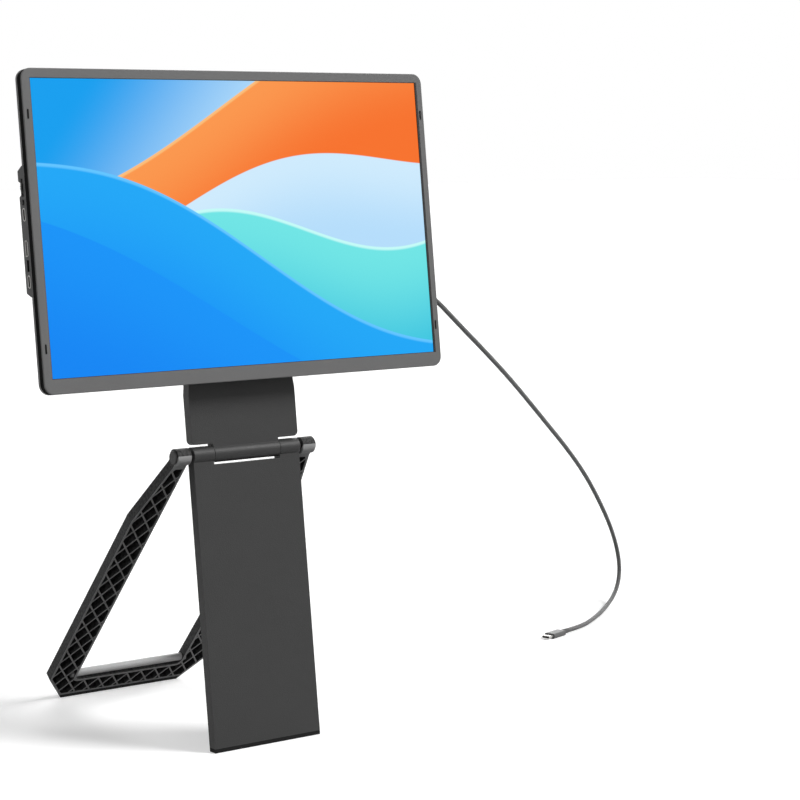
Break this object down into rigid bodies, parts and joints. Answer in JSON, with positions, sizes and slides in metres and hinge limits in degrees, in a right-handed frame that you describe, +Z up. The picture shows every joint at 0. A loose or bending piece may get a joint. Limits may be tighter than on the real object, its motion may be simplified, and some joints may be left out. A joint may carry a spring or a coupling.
{
  "type": "portable monitor",
  "caption": "Thin flat monitor on a folding stand with a ribbed rear leg, hinged arm, tilt and swivel head, side ports and a plugged cable.",
  "frame": {"origin": "on the desk, in the middle of the sole of the front foot", "axes": "+X to the right along the screen, +Y away from the viewer, +Z up"},
  "size_m": [0.769, 0.2502, 0.5121],
  "materials": {
    "bezel_grey": "satin",
    "frame_black": "satin",
    "cover_grey": "fine textured",
    "screen_glass": "lit picture",
    "light_guide": "white film",
    "circuit_green": "solder mask",
    "socket_steel": "bright",
    "socket_black": "matte",
    "stand_plastic": "moulded",
    "hinge_steel": "dark",
    "bracket_metal": "painted satin",
    "rubber_black": "matte",
    "cable_braid": "braided",
    "plug_grey": "satin"
  },
  "bodies": {
    "front_stand": {"front_leg": "stand_plastic", "front_foot_pad": "rubber_black", "elbow_pin": "hinge_steel", "elbow_pin_caps": "stand_plastic"},
    "rear_stand": {"rear_leg": "stand_plastic", "rear_foot_pad": "rubber_black", "leg_rod": "hinge_steel"},
    "arm": {"upper_arm": "stand_plastic", "tilt_pin": "hinge_steel", "tilt_pin_caps": "stand_plastic"},
    "head": {"head_bracket": "bracket_metal", "swivel_rivet": "hinge_steel", "swivel_washer": "frame_black"},
    "wheel": {"jog_wheel": "frame_black"},
    "button": {"power_button": "cover_grey"},
    "screen": {"aux_port": "socket_black", "back_cover": "cover_grey", "backlight": "light_guide", "bezel_bumpers": "frame_black", "cable": "cable_braid", "cable_port_board": "circuit_green", "cable_port_cover": "cover_grey", "controller_board": "circuit_green", "cover_screws": "hinge_steel", "display_panel": "screen_glass", "driver_board": "circuit_green", "far_plug_body": "plug_grey", "far_plug_shell": "socket_steel", "far_strain_relief": "plug_grey", "front_bezel": "bezel_grey", "jog_axle": "frame_black", "mid_frame": "frame_black", "mini_hdmi_port": "socket_steel", "near_plug_body": "plug_grey", "near_plug_shell": "socket_steel", "near_strain_relief": "plug_grey", "port_housing": "cover_grey", "power_switch": "frame_black", "speakers": "frame_black", "swivel_plate": "hinge_steel", "swivel_screws": "hinge_steel", "usb_c_port_cable": "socket_steel", "usb_c_port_power": "socket_steel", "usb_c_port_video": "socket_steel"}
  },
  "joints": [
    {"name": "rear_leg_fold", "type": "hinge", "parent": "front_stand", "child": "rear_stand", "pos_m": [0, 0.02754, 0.22331], "axis": [-1, 0, 0], "range_deg": [0, 48]},
    {"name": "elbow_fold", "type": "hinge", "parent": "front_stand", "child": "arm", "pos_m": [0, 0.02754, 0.22331], "axis": [-1, 0, 0], "range_deg": [0, 90]},
    {"name": "head_tilt", "type": "hinge", "parent": "arm", "child": "head", "pos_m": [0, 0.04847, 0.39302], "axis": [-1, 0, 0], "range_deg": [0, 35]},
    {"name": "screen_swivel", "type": "hinge", "parent": "head", "child": "screen", "pos_m": [0, 0.03785, 0.39433], "axis": [0, -0.9925, 0.1224], "range_deg": [0, 90]},
    {"name": "menu_wheel", "type": "hinge", "parent": "screen", "child": "wheel", "pos_m": [-0.1732, 0.0404, 0.42686], "axis": [0, 0.9925, -0.1224], "range_deg": [-15, 15], "stiffness_Nm_per_rad": 0.002},
    {"name": "power_press", "type": "slide", "parent": "screen", "child": "button", "axis": [1, 0, 0], "range_m": [0, 0.0006], "stiffness_N_per_m": 300}
  ]
}
